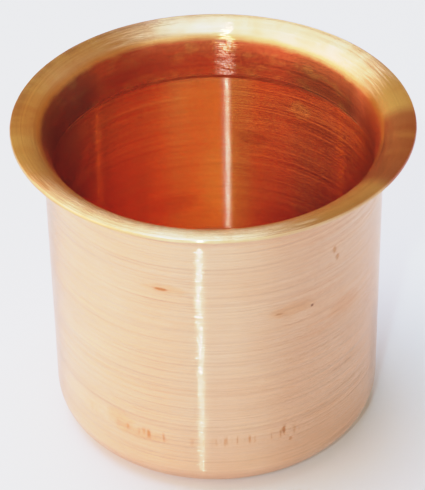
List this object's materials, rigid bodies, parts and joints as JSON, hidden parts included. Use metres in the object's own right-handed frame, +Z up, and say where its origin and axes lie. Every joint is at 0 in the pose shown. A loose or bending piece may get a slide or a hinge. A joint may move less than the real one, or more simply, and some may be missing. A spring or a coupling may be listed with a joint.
{
  "type": "small ritual water cup",
  "caption": "Straight-walled round copper water cup with a flared yellow-metal rim, a rounded lower corner and a slightly raised base.",
  "frame": {"origin": "centre of the level ring that the cup stands on", "axes": "+Z up along the cup's axis, out through the mouth; the cup is the same all round, so +X and +Y are free"},
  "size_m": [0.084, 0.084, 0.072],
  "materials": {
    "copper": "bare pale copper, finely turned",
    "copper_base": "bare pale copper, finely turned, a little dull",
    "yellow_brass": "brushed yellow brass",
    "braze": "dull brown brazing metal"
  },
  "bodies": {
    "root": {"wall": "copper", "base_pan": "copper_base", "rim": "yellow_brass", "rim_braze": "braze", "base_braze": "braze"}
  },
  "joints": []
}
